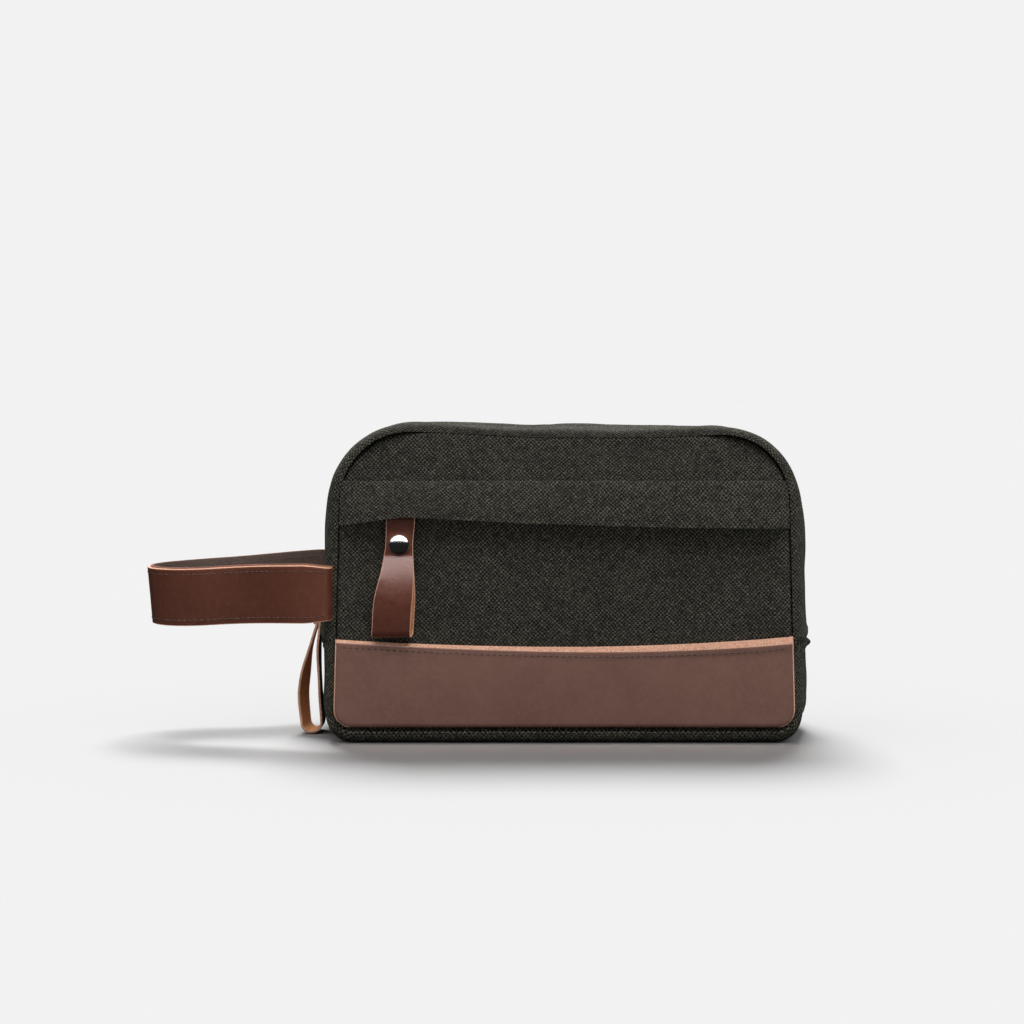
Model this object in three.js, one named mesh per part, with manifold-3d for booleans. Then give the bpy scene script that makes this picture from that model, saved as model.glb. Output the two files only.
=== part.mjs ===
import * as THREE from "three";
import { mergeVertices } from "three/addons/utils/BufferGeometryUtils.js";
import Module from "manifold-3d";

// A canvas and leather shaving kit bag with a zipped top, a zipped front pocket and a wrist handle.
// Millimetres, +Z up. The front faces -Y and the handle leaves the -X end.
// The origin is the middle of the bag's base.

const GAP = 0.3; // clearance between pieces that touch on the real bag

// Seam outline: the rounded rectangle where the front and back panels meet the gusset.
const SEAM_HALF_WIDTH = 121;
const SEAM_TOP = 166;
const SEAM_BOTTOM = 8.5;
const SEAM_DEPTH = 54;
const TOP_RADIUS = 37;
const BOTTOM_RADIUS = 10;
const TAPER = 0.00025; // the bag widens by this part of its width for each mm downwards
const TAPER_HEIGHT = 80; // height at which the outline has its stated width

// Gusset: the canvas that runs round the bag between the two panels.
const CANVAS = 2;
const ROLL = 5; // how far it rolls out past the seam at the top and the sides
const BASE_ROLL = 8.5; // and below the seam, down to the flat base
const ROLL_DEPTH = 7; // depth over which it rolls out
const SWELL_RIGHT = 7; // further swelling of the right end at the middle of the depth
const SWELL_LEFT = 4.5;
const SWELL_TOP = 110; // above this height the swelling fades out towards the top seam
const JOINT_HEIGHT = 54; // the zipped gusset is sewn to the bottom gusset here

const TAB_HALF_HEIGHT = 3.5; // folded tab over the joint on the right end
const TAB_HALF_WIDTH = 9;
const TAB_REACH = 4.1;

// Main zip, round the top and down both ends at the middle of the depth.
const SLOT = 4.5; // half the slot that shows the zip
const TEETH = 3; // half the width of the closed teeth
const TEETH_PROUD = 0.4; // teeth stand this far above the canvas
const TAPE_HALF_WIDTH = 12;
const TAPE = 0.8;

// Front pocket.
const PANEL = 1.7;
const PANEL_BACK = -(SEAM_DEPTH + GAP);
const PANEL_FRONT = PANEL_BACK - PANEL;
const ZIP_HEIGHT = 127;
const ZIP_SLOT = 4.1; // half the slot between the two front panels
const ZIP_TEETH = 2.2;
const ZIP_TEETH_FRONT = -56.2;
const ZIP_TAPE_FRONT = -53.9;
const ZIP_TAPE_HALF_LENGTH = 113;
const POCKET_DEPTH = 6.3;
const BACKING = 1.6;
const BACKING_SPREAD = 2.2;
const LINING = 0.8;
const LINING_OFFSET = -3.5;

// Flap over the front zip.
const FLAP_TOP = 140.2;
const FLAP_LOW = 122;
const FLAP_HALF_WIDTH = 119.6;

// Leather band across the foot of the front.
const BAND = 1.7;
const BAND_LOW = 9;
const BAND_ENDS = 57.4;
const BAND_MIDDLE = 52.7;

// Wrist handle: two layers of leather in a loop, seen from above.
const HANDLE_X = -121.8;
const HANDLE_Y = 58.2;
const HANDLE_Z = 80;
const HANDLE_WIDTH = 31;
const HANDLE_PINCH = 3; // how much narrower it is where it is sewn in
const HANDLE_DROOP = 4.5;
const BEND_X = -191.7;
const BEND_RADIUS = 34.5;
const HANDLE_LAYER = 1.6;

// Zip pulls: a folded leather strap that hangs from a wire loop on the slider.
const FRONT_SLIDER = new THREE.Vector3(-86.7, ZIP_TEETH_FRONT, ZIP_HEIGHT);
const MAIN_SLIDER_Z = 84.8;
const LOOP_WIRE = 1.2;
const STRAP_HALF_WIDTH = 7.5;
const STRAP_FLARE = 2.5;
const LEATHER = 1.4;
const PIVOT = new THREE.Vector2(2.95, -7.8); // outwards and up from the slider's back
const RIVET_DROP = 20.7;
const RIVET_RADIUS = 5.6;
const STRAPS = {
  front: { bottom: -69.8, loopRadius: 4, loopOut: 4.15, slope: 0, lean: -0.061, skew: -1.5, turn: 0 },
  main: { bottom: -83.2, loopRadius: 4.5, loopOut: 3.1, slope: 0.05, lean: 0.1, skew: 0, turn: 0.15 },
};

const finish = (color, roughness, metalness = 0) =>
  new THREE.MeshStandardMaterial({ color, roughness, metalness });
const canvas = finish(0x34322c, 0.95);
const leather = finish(0x5b3a30, 0.5);
const lining = finish(0x1f1e1c, 0.9);
const zipTape = finish(0x171614, 0.9);
const zipTeeth = finish(0x26241f, 0.4, 0.3);
const chrome = finish(0xd8d8d6, 0.12, 1);
const darkMetal = finish(0x55524c, 0.35, 1);

const { clamp, lerp, smoothstep } = THREE.MathUtils;
const wasm = await Module();
wasm.setup();

function toSolid(geometry) {
  const bare = geometry.index ? geometry.toNonIndexed() : geometry.clone();
  bare.deleteAttribute("normal");
  bare.deleteAttribute("uv");
  const merged = mergeVertices(bare, 1e-3);
  const vertProperties = new Float32Array(merged.getAttribute("position").array);
  const triVerts = new Uint32Array(merged.index.array);
  return new wasm.Manifold(new wasm.Mesh({ numProp: 3, vertProperties, triVerts }));
}

function toGeometry(solid) {
  const mesh = solid.getMesh();
  const geometry = new THREE.BufferGeometry();
  geometry.setAttribute("position", new THREE.BufferAttribute(mesh.vertProperties.slice(), 3));
  geometry.setIndex(new THREE.BufferAttribute(mesh.triVerts.slice(), 1));
  geometry.computeVertexNormals();
  return geometry;
}

const join = (...geometries) =>
  toGeometry(geometries.map(toSolid).reduce((whole, part) => whole.add(part)));

// Moves every vertex to the place that move(x, y, z) returns.
function reshape(geometry, move) {
  const position = geometry.getAttribute("position");
  for (let i = 0; i < position.count; i++) {
    position.setXYZ(i, ...move(position.getX(i), position.getY(i), position.getZ(i)));
  }
  geometry.computeVertexNormals();
  return geometry;
}

const widen = (x, z) => x * (1 + (TAPER_HEIGHT - z) * TAPER);

// Direction away from the bag's middle, square to the seam outline, in X and Z.
function outward(x, z) {
  const topCentre = SEAM_TOP - TOP_RADIUS;
  const bottomCentre = SEAM_BOTTOM + BOTTOM_RADIUS;
  if (z >= bottomCentre && z <= topCentre) return new THREE.Vector2(Math.sign(x), 0);
  const atTop = z > topCentre;
  const flat = SEAM_HALF_WIDTH - (atTop ? TOP_RADIUS : BOTTOM_RADIUS);
  const centre = new THREE.Vector2(clamp(x, -flat, flat), atTop ? topCentre : bottomCentre);
  return new THREE.Vector2(x, z).sub(centre).normalize();
}

const swellAt = (z, left) =>
  (left ? SWELL_LEFT : SWELL_RIGHT) * (1 - smoothstep(z, SWELL_TOP, SEAM_TOP));

// Half the bag's length at the teeth, at the middle of its depth, before the taper.
const endX = (z, left) => SEAM_HALF_WIDTH + ROLL + swellAt(z, left) + TEETH_PROUD;

// How far the gusset stands outside the seam outline at a point of it.
function standOff(out, y, z) {
  const depth = clamp((SEAM_DEPTH - Math.abs(y)) / ROLL_DEPTH, 0, 1);
  const roll = Math.sqrt(1 - (1 - depth) ** 2);
  const middle = Math.cos((Math.PI / 2) * clamp(y / SEAM_DEPTH, -1, 1)) ** 2;
  const side = ROLL * roll + swellAt(z, out.x < 0) * middle;
  const level = (out.y > 0 ? ROLL : BASE_ROLL) * roll;
  return side * out.x ** 2 + level * out.y ** 2;
}

function puff(geometry) {
  return reshape(geometry, (x, y, z) => {
    const out = outward(x, z);
    const distance = standOff(out, y, z);
    return [widen(x + distance * out.x, z), y, z + distance * out.y];
  });
}

// A flat outline in X and Z, carried from front to back.
function alongDepth(shape, front, back) {
  const solid = new THREE.ExtrudeGeometry(shape, { depth: 1, bevelEnabled: false, curveSegments: 6 });
  return reshape(solid, (x, z, t) => [x, lerp(back, front, t), z]);
}

// Stations along one stretch of the seam outline: points on it with their outward directions.
// Every stretch runs clockwise seen from the front.
function run(place) {
  const topX = SEAM_HALF_WIDTH - TOP_RADIUS;
  const topZ = SEAM_TOP - TOP_RADIUS;
  const bottomX = SEAM_HALF_WIDTH - BOTTOM_RADIUS;
  const bottomZ = SEAM_BOTTOM + BOTTOM_RADIUS;
  const leg = (side, heights) => heights.map((z) => [side * SEAM_HALF_WIDTH, z]);
  const corner = (x, z, radius, from, steps) =>
    Array.from({ length: steps + 1 }, (_, i) => {
      const angle = from - ((i / steps) * Math.PI) / 2;
      return [x + radius * Math.cos(angle), z + radius * Math.sin(angle)];
    });
  const low = JOINT_HEIGHT + GAP / 2;
  const rising = [low, (low + SWELL_TOP) / 2, SWELL_TOP];
  const under = JOINT_HEIGHT - GAP / 2;
  const stretches = {
    left: [...leg(-1, rising), ...corner(-topX, topZ, TOP_RADIUS, Math.PI, 8)],
    top: [[GAP - topX, SEAM_TOP], [topX - GAP, SEAM_TOP]],
    right: [...corner(topX, topZ, TOP_RADIUS, Math.PI / 2, 8), ...leg(1, rising.reverse())],
    bottom: [
      ...leg(1, [under, (under + bottomZ) / 2]),
      ...corner(bottomX, bottomZ, BOTTOM_RADIUS, 0, 6),
      ...corner(-bottomX, bottomZ, BOTTOM_RADIUS, -Math.PI / 2, 6),
      ...leg(-1, [(under + bottomZ) / 2, under]),
    ],
  };
  stretches.tub = [[SEAM_HALF_WIDTH, topZ], [SEAM_HALF_WIDTH, SWELL_TOP], ...stretches.bottom];
  stretches.tub.push([-SEAM_HALF_WIDTH, SWELL_TOP], [-SEAM_HALF_WIDTH, topZ]);
  return stretches[place].map(([x, z]) => ({ x, z, out: outward(x, z) }));
}

// A strip of the gusset ring between two offsets from the seam outline: a box bent round it.
function strip(place, inner, outer, front, back, steps) {
  const stations = run(place);
  const last = stations.length - 1;
  const [near, far] = [front, back].map((y) => Math.asin(y / SEAM_DEPTH));
  const box = new THREE.BoxGeometry(1, 1, 1, last, steps, 1).translate(0.5, 0.5, 0.5);
  const bent = reshape(box, (along, depth, rise) => {
    const { x, z, out } = stations[Math.round(along * last)];
    const offset = lerp(inner, outer, rise);
    return [x + offset * out.x, SEAM_DEPTH * Math.sin(lerp(near, far, depth)), z + offset * out.y];
  });
  return puff(bent);
}

// The whole seam outline as a closed shape, from the height low to the height high.
function panelShape(offset, low, high) {
  const half = SEAM_HALF_WIDTH + offset;
  const topX = SEAM_HALF_WIDTH - TOP_RADIUS;
  const topZ = SEAM_TOP - TOP_RADIUS;
  const bottomX = SEAM_HALF_WIDTH - BOTTOM_RADIUS;
  const bottomZ = SEAM_BOTTOM + BOTTOM_RADIUS;
  const topR = TOP_RADIUS + offset;
  const bottomR = BOTTOM_RADIUS + offset;
  const shape = new THREE.Shape();
  const startAngle = low > topZ ? Math.asin((low - topZ) / topR) : 0;
  const endAngle = high === Infinity ? Math.PI / 2 : Math.asin(clamp((high - topZ) / topR, 0, 1));
  if (low === -Infinity) {
    shape.absarc(-bottomX, bottomZ, bottomR, Math.PI, 1.5 * Math.PI, false);
    shape.absarc(bottomX, bottomZ, bottomR, 1.5 * Math.PI, 2 * Math.PI, false);
  }
  if (high <= topZ) {
    shape.lineTo(half, high);
    shape.lineTo(-half, high);
    return shape;
  }
  shape.absarc(topX, topZ, topR, startAngle, endAngle, false);
  shape.absarc(-topX, topZ, topR, Math.PI - endAngle, Math.PI - startAngle, false);
  return shape;
}

const panel = (shape, front, back) =>
  reshape(alongDepth(shape, front, back), (x, y, z) => [widen(x, z), y, z]);

function block(low, high) {
  const size = low.map((value, axis) => high[axis] - value);
  const middle = low.map((value, axis) => (high[axis] + value) / 2);
  return new THREE.BoxGeometry(...size).translate(...middle);
}

function bandShape() {
  const half = SEAM_HALF_WIDTH;
  const radius = BOTTOM_RADIUS - 1;
  const shape = new THREE.Shape();
  shape.absarc(-(half - radius), BAND_LOW + radius, radius, Math.PI, 1.5 * Math.PI, false);
  shape.absarc(half - radius, BAND_LOW + radius, radius, 1.5 * Math.PI, 2 * Math.PI, false);
  shape.lineTo(half, BAND_ENDS);
  shape.quadraticCurveTo(0, 2 * BAND_MIDDLE - BAND_ENDS, -half, BAND_ENDS);
  return shape;
}

// The flap is a doubled strip of canvas that stands off the panel to leave room for the slider.
function flap() {
  const section = new THREE.Shape();
  section.moveTo(-56.4, FLAP_TOP);
  section.lineTo(-58.6, FLAP_TOP);
  section.bezierCurveTo(-62.4, 138.4, -64.2, 135, -64.2, 131);
  section.lineTo(-64.2, FLAP_LOW);
  section.lineTo(-62, FLAP_LOW);
  section.lineTo(-62, 131);
  section.bezierCurveTo(-62, 134.4, -60.4, 137, -56.4, 138);
  const options = { depth: 2 * FLAP_HALF_WIDTH, bevelEnabled: false, curveSegments: 5 };
  const solid = new THREE.ExtrudeGeometry(section, options);
  return reshape(solid, (y, z, x) => [x - FLAP_HALF_WIDTH, y, z]);
}

// The lining is a thin open-topped bag inside the compartment.
function liningBag() {
  const front = PANEL_BACK + POCKET_DEPTH + BACKING + 0.9;
  const back = SEAM_DEPTH - 4;
  const round = strip("tub", LINING_OFFSET - LINING, LINING_OFFSET, front, back, 6);
  const outline = panelShape(LINING_OFFSET - 0.1, -Infinity, SEAM_TOP - TOP_RADIUS);
  const sheet = (y) => puff(alongDepth(outline, y, y + LINING));
  return join(round, sheet(front), sheet(back - LINING));
}

// Points and outward directions along the middle of the handle's thickness, seen from above.
function handleRoute() {
  const leg = (side) => [
    new THREE.Vector2(HANDLE_X, side * HANDLE_Y),
    new THREE.Vector2(HANDLE_X - 30, side * HANDLE_Y),
    new THREE.Vector2(BEND_X + 32, side * BEND_RADIUS),
    new THREE.Vector2(BEND_X, side * BEND_RADIUS),
  ];
  const route = new THREE.CurvePath();
  route.add(new THREE.CubicBezierCurve(...leg(-1)));
  route.add(new THREE.EllipseCurve(BEND_X, 0, BEND_RADIUS, BEND_RADIUS, 1.5 * Math.PI, 0.5 * Math.PI, true));
  route.add(new THREE.CubicBezierCurve(...leg(1).reverse()));
  return route;
}

function handleLayer(inner, outer) {
  const route = handleRoute();
  const steps = 44;
  const side = (offset) =>
    Array.from({ length: steps + 1 }, (_, i) => {
      const point = route.getPoint(i / steps);
      const along = route.getTangent(i / steps);
      return new THREE.Vector2(point.x - offset * along.y, point.y + offset * along.x);
    });
  const shape = new THREE.Shape([...side(outer), ...side(inner).reverse()]);
  const solid = new THREE.ExtrudeGeometry(shape, { depth: 1, bevelEnabled: false });
  return reshape(solid, (x, y, t) => {
    const away = HANDLE_X - x;
    const width = HANDLE_WIDTH - HANDLE_PINCH * (1 - smoothstep(away, 0, 18));
    const droop = HANDLE_DROOP * smoothstep(away, 0, HANDLE_X - BEND_X + BEND_RADIUS);
    return [x, y, HANDLE_Z - droop + (t - 0.5) * width];
  });
}

// The folded tab is half of a pointed oval in X and Z, carried along Y.
function endTab() {
  const foot = widen(endX(JOINT_HEIGHT, false), JOINT_HEIGHT) + GAP;
  const shape = new THREE.Shape();
  shape.moveTo(foot, JOINT_HEIGHT - TAB_HALF_HEIGHT);
  shape.quadraticCurveTo(foot + 2 * TAB_REACH, JOINT_HEIGHT, foot, JOINT_HEIGHT + TAB_HALF_HEIGHT);
  return alongDepth(shape, -TAB_HALF_WIDTH, TAB_HALF_WIDTH);
}

// Sliders, loops, straps and rivets are made about the slider's place on the teeth:
// -Y points out of the bag, X is across the strap and Z is up.
function slider(alongStrap) {
  const [halfX, halfZ] = alongStrap ? [4.2, 5.5] : [5.5, 3.7];
  const shape = new THREE.Shape();
  const round = 1.2;
  shape.absarc(halfX - round, halfZ - round, round, 0, Math.PI / 2, false);
  shape.absarc(round - halfX, halfZ - round, round, Math.PI / 2, Math.PI, false);
  shape.absarc(round - halfX, round - halfZ, round, Math.PI, 1.5 * Math.PI, false);
  shape.absarc(halfX - round, round - halfZ, round, 1.5 * Math.PI, 2 * Math.PI, false);
  const plate = alongDepth(shape, -1.7, -0.5);
  const cheek = (side) => {
    const edges = [side * halfX, side * (halfX - 0.8)].sort((a, b) => a - b);
    const ends = [side * halfZ, side * (halfZ - 0.8)].sort((a, b) => a - b);
    return alongStrap
      ? block([edges[0], -1, round - halfZ], [edges[1], 1.2, halfZ - round])
      : block([round - halfX, -1, ends[0]], [halfX - round, 1.6, ends[1]]);
  };
  const staple = new THREE.Shape();
  staple.moveTo(-5.2, -1.6);
  staple.lineTo(-1.3, -1.6);
  staple.lineTo(-1.3, 3);
  staple.lineTo(-5.2, 3);
  const eye = new THREE.Path();
  eye.moveTo(-4.1, -0.6);
  eye.lineTo(-4.1, 2);
  eye.lineTo(-1.7, 2);
  eye.lineTo(-1.7, -0.6);
  staple.holes.push(eye);
  const crown = reshape(new THREE.ExtrudeGeometry(staple, { depth: 3.2, bevelEnabled: false }), (y, z, x) => [
    x - 1.6,
    y,
    z,
  ]);
  return join(plate, cheek(-1), cheek(1), crown);
}

function wireLoop() {
  const half = STRAP_HALF_WIDTH + GAP;
  const low = PIVOT.y;
  const high = PIVOT.y + 8.4;
  const ring = (grow, path) => {
    path.moveTo(-half - grow, low - grow + LOOP_WIRE / 2);
    path.lineTo(half + grow, low - grow + LOOP_WIRE / 2);
    path.lineTo(half + grow, high + grow - LOOP_WIRE / 2);
    path.lineTo(-half - grow, high + grow - LOOP_WIRE / 2);
    path.closePath();
    return path;
  };
  const shape = ring(LOOP_WIRE, new THREE.Shape());
  shape.holes.push(ring(0, new THREE.Path()));
  return alongDepth(shape, -PIVOT.x - LOOP_WIRE / 2, -PIVOT.x + LOOP_WIRE / 2);
}

// Where the strap's section (u outwards, v up) hangs: its sideways shift, outward shift and turn.
function strapPlace(strap, u, v) {
  const low = smoothstep(-v, 30, 55);
  const outer = low * smoothstep(u, strap.loopOut - strap.loopRadius, strap.loopOut + strap.loopRadius);
  const hang = Math.max(0, PIVOT.y - v);
  return { shift: strap.lean * hang + strap.skew * outer, out: strap.slope * hang, turn: strap.turn * outer };
}

function rivetPlace(strap) {
  const { shift, out } = strapPlace(strap, PIVOT.x, -RIVET_DROP);
  return [shift, -(PIVOT.x + out), -RIVET_DROP];
}

function pullStrap(strap) {
  const centre = new THREE.Vector2(strap.loopOut, strap.bottom + strap.loopRadius);
  const foldRadius = LEATHER + 1.05;
  const half = LEATHER + 0.1;
  const pinchTop = PIVOT.y - 5.5;
  const pinchLow = -29;
  const middle = (pinchLow + centre.y) / 2;
  const shape = new THREE.Shape();
  shape.absarc(PIVOT.x, PIVOT.y, foldRadius, 0, Math.PI, false);
  shape.lineTo(PIVOT.x - half, pinchTop);
  shape.lineTo(PIVOT.x - half, pinchLow);
  shape.bezierCurveTo(
    PIVOT.x - half, middle,
    centre.x - strap.loopRadius, middle,
    centre.x - strap.loopRadius, centre.y,
  );
  shape.absarc(centre.x, centre.y, strap.loopRadius, Math.PI, 2 * Math.PI, false);
  shape.bezierCurveTo(
    centre.x + strap.loopRadius, middle,
    PIVOT.x + half, middle,
    PIVOT.x + half, pinchLow,
  );
  shape.lineTo(PIVOT.x + half, pinchTop);
  const bar = new THREE.Path();
  bar.absarc(PIVOT.x, PIVOT.y, foldRadius - LEATHER, 0, 2 * Math.PI, true);
  const inside = strap.loopRadius - LEATHER;
  const tip = pinchLow - 5;
  const drop = new THREE.Path();
  drop.moveTo(PIVOT.x, tip);
  drop.bezierCurveTo(PIVOT.x + 0.4, middle, centre.x + inside, middle, centre.x + inside, centre.y);
  drop.absarc(centre.x, centre.y, inside, 0, -Math.PI, true);
  drop.bezierCurveTo(centre.x - inside, middle, PIVOT.x - 0.4, middle, PIVOT.x, tip);
  shape.holes.push(bar, drop);
  const solid = new THREE.ExtrudeGeometry(shape, { depth: 1, bevelEnabled: false, curveSegments: 5 });
  reshape(solid, (u, v, t) => {
    const width = STRAP_HALF_WIDTH + STRAP_FLARE * smoothstep(-v, RIVET_DROP, 52);
    const across = (1 - 2 * t) * width;
    const { shift, out, turn } = strapPlace(strap, u, v);
    return [across + shift, -(u + out + turn * across), v];
  });
  const bore = new THREE.CylinderGeometry(1.7, 1.7, 12, 12).translate(...rivetPlace(strap));
  return toGeometry(toSolid(solid).subtract(toSolid(bore)));
}

// Lathe pieces turn about the rivet's axis, which points out of the bag.
function rivetPiece(strap, profile) {
  const points = profile.map(([radius, out]) => new THREE.Vector2(radius, out));
  return new THREE.LatheGeometry(points, 20).rotateX(Math.PI).translate(...rivetPlace(strap));
}

function rivetCap(strap) {
  const foot = LEATHER + 0.1 + GAP;
  const dome = [0.35, 0.65, 0.88, 1].map((part) => {
    const angle = (part * Math.PI) / 2;
    return [RIVET_RADIUS * Math.sin(angle), foot + 0.5 + 2.2 * Math.cos(angle)];
  });
  return rivetPiece(strap, [[0, foot], [RIVET_RADIUS, foot], ...dome.reverse(), [0, foot + 2.7]]);
}

function rivetPost(strap) {
  const back = -(LEATHER + 0.1 + GAP);
  return rivetPiece(strap, [
    [0, back - 0.8],
    [4, back - 0.8],
    [4, back],
    [1.4, back],
    [1.4, LEATHER + 0.1],
    [0, LEATHER + 0.1],
  ]);
}

const bag = new THREE.Group();

function add(name, geometry, material, parent = bag) {
  const mesh = new THREE.Mesh(geometry, material);
  mesh.name = name;
  parent.add(mesh);
}

// Front wall, from the outside in.
const backingFront = PANEL_BACK + POCKET_DEPTH;
add("front_top_panel", panel(panelShape(0, ZIP_HEIGHT + ZIP_SLOT, Infinity), PANEL_FRONT, PANEL_BACK), canvas);
add("pocket_panel", panel(panelShape(0, -Infinity, ZIP_HEIGHT - ZIP_SLOT), PANEL_FRONT, PANEL_BACK), canvas);
add("leather_band", panel(bandShape(), PANEL_FRONT - GAP - BAND, PANEL_FRONT - GAP), leather);
add(
  "pocket_backing",
  panel(panelShape(BACKING_SPREAD, -Infinity, Infinity), backingFront, backingFront + BACKING),
  lining,
);
add("back_panel", panel(panelShape(0, -Infinity, Infinity), -PANEL_BACK, -PANEL_FRONT), canvas);
add("lining_bag", liningBag(), lining);

// Gusset, with the main zip in it. The front and back halves mirror each other.
add("bottom_gusset", strip("bottom", -CANVAS, 0, -SEAM_DEPTH, SEAM_DEPTH, 12), canvas);
for (const [half, side] of [["front", -1], ["back", 1]]) {
  const between = (near, far) => [side * near, side * far].sort((a, b) => a - b);
  for (const place of ["left", "top", "right"]) {
    add(`gusset_${half}_${place}`, strip(place, -CANVAS, 0, ...between(SLOT, SEAM_DEPTH), 6), canvas);
    const tapeFront = -CANVAS - GAP;
    const tapeRange = between(0.7, TAPE_HALF_WIDTH);
    add(`main_tape_${half}_${place}`, strip(place, tapeFront - TAPE, tapeFront, ...tapeRange, 4), zipTape);
    const teethRange = between(0.25, TEETH);
    add(`main_teeth_${half}_${place}`, strip(place, -CANVAS, TEETH_PROUD, ...teethRange, 2), zipTeeth);
  }
}
add("end_tab", endTab(), canvas);

// Front pocket zip.
const tapeBack = ZIP_TAPE_FRONT + TAPE;
const tapeX = ZIP_TAPE_HALF_LENGTH;
for (const [name, side] of [["upper", 1], ["lower", -1]]) {
  const rise = (near, far) => [ZIP_HEIGHT + side * near, ZIP_HEIGHT + side * far].sort((a, b) => a - b);
  const [tapeLow, tapeHigh] = rise(0.4, TAPE_HALF_WIDTH);
  add(`front_tape_${name}`, block([-tapeX, ZIP_TAPE_FRONT, tapeLow], [tapeX, tapeBack, tapeHigh]), zipTape);
  const [teethLow, teethHigh] = rise(0.15, ZIP_TEETH);
  const teethBack = ZIP_TAPE_FRONT - GAP;
  add(
    `front_teeth_${name}`,
    block([-tapeX, ZIP_TEETH_FRONT, teethLow], [tapeX, teethBack, teethHigh]),
    zipTeeth,
  );
}
const stop = (x) => block([x - 1, -1.4, -2], [x + 1, -GAP, 2]);
const frontStops = new THREE.Group();
frontStops.position.copy(FRONT_SLIDER);
add("front_stop_left", stop(-6.8), darkMetal, frontStops);
add("front_stop_right", stop(191.8), darkMetal, frontStops);
bag.add(frontStops);
add("pocket_flap", flap(), canvas);

// Pulls: the front one hangs on the front, the main one on the left end.
const frontPull = new THREE.Group();
frontPull.position.copy(FRONT_SLIDER);
const mainPull = new THREE.Group();
const teethX = widen(endX(MAIN_SLIDER_Z, true), MAIN_SLIDER_Z);
mainPull.position.set(-teethX, 0, MAIN_SLIDER_Z);
mainPull.rotation.z = -Math.PI / 2;
for (const [name, group] of [["front", frontPull], ["main", mainPull]]) {
  const strap = STRAPS[name];
  add(`${name}_slider`, slider(name === "main"), darkMetal, group);
  add(`${name}_slider_loop`, wireLoop(), darkMetal, group);
  add(`${name}_pull_strap`, pullStrap(strap), leather, group);
  add(`${name}_rivet_cap`, rivetCap(strap), chrome, group);
  add(`${name}_rivet_post`, rivetPost(strap), chrome, group);
  bag.add(group);
}
add("main_stop", block([-TEETH, -0.7, -6.6], [TEETH, -GAP, -5.8]), darkMetal, mainPull);

add("handle_outer", handleLayer(GAP / 2, GAP / 2 + HANDLE_LAYER), leather);
add("handle_lining", handleLayer(-GAP / 2 - HANDLE_LAYER, -GAP / 2), leather);

export default bag;
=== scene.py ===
import bpy
import numpy as np
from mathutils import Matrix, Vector


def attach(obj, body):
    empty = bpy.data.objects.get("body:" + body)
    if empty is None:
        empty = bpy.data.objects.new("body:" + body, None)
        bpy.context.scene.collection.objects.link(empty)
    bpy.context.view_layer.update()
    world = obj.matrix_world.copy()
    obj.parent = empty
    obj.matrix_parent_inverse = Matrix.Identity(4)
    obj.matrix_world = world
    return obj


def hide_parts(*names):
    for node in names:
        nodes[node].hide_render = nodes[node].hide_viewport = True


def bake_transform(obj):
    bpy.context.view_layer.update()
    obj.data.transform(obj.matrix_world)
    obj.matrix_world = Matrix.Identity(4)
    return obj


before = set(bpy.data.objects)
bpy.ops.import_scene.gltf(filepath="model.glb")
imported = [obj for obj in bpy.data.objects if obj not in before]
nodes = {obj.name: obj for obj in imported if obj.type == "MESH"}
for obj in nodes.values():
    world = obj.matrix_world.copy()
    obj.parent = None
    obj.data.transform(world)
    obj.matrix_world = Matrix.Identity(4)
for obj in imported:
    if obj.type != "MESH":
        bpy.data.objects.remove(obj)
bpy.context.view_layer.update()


# Canvas gusset.
# One band of coarse canvas runs all the way round the bag between the front and back panels. Its
# zipped part goes over the top and down both ends, and its bottom part is the foot the bag stands on.
# Every edge is sewn into the panel seams, and the cloth rolls out past them.
JOINT = 54.0  # height of the seam between the zipped gusset and the bottom gusset
SEAM_DEPTH = 54.0  # the panel seams are this far from the middle of the bag's depth
ZIPPED = 434.2  # seam length round the top, from joint to joint
ROUND = 758.7  # whole seam length round a panel


def smooth(t):
    t = np.clip(t, 0, 1)
    return t * t * (3 - 2 * t)


def seam_path():
    """Points and outward directions on the seam, clockwise from the left joint, seen from the front."""
    points, ways = [(-121, JOINT)], [(-1, 0)]
    corners = ((-84, 129, 37, 180), (84, 129, 37, 90), (111, 18.5, 10, 0), (-111, 18.5, 10, -90))
    for x, z, radius, start in corners:
        if start == 0:
            points.append((121, JOINT))
            ways.append((1, 0))
        for angle in np.radians(np.linspace(start, start - 90, 31)):
            points.append((x + radius * np.cos(angle), z + radius * np.sin(angle)))
            ways.append((np.cos(angle), np.sin(angle)))
    points.append((-121, JOINT))
    ways.append((-1, 0))
    points, ways = np.array(points, float), np.array(ways, float)
    run = np.concatenate([[0], np.cumsum(np.hypot(*np.diff(points, axis=0).T))])
    return run / run[-1] * ROUND, points, ways


SEAM_RUN, SEAM_POINTS, SEAM_WAYS = seam_path()


def lumps(a, b, size, seed):
    """Soft unevenness of cloth from -1 to 1, with lumps about size millimetres across."""
    draw = np.random.default_rng(seed)
    total = 0.0
    for _ in range(8):
        turn, phase = draw.uniform(0, 2 * np.pi, 2)
        length = size * draw.uniform(0.8, 2.0)
        total = total + np.sin(2 * np.pi * (a * np.cos(turn) + b * np.sin(turn)) / length + phase)
    return total / 4


def widen(x, z):
    return x * (1 + (80 - z) * 0.00025)


def sag(x, y, z):
    """Height of a point after the soft top has settled, most at the front seam and at the right."""
    front = 1.6 * smooth(-y / 54) * smooth((90 - x) / 50)
    right = smooth((x - 50) / 30) * smooth((y + 50) / 30)
    deep = 1.7 + front + right
    return z - deep * smooth((x + 90) / 90) * smooth((118 - x) / 40) * smooth((z - 138) / 28)


def panel_lean(z):
    """How far the upper part of the panels leans towards the middle of the bag."""
    return 4.8 * smooth((z - 130) / 42)


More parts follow.
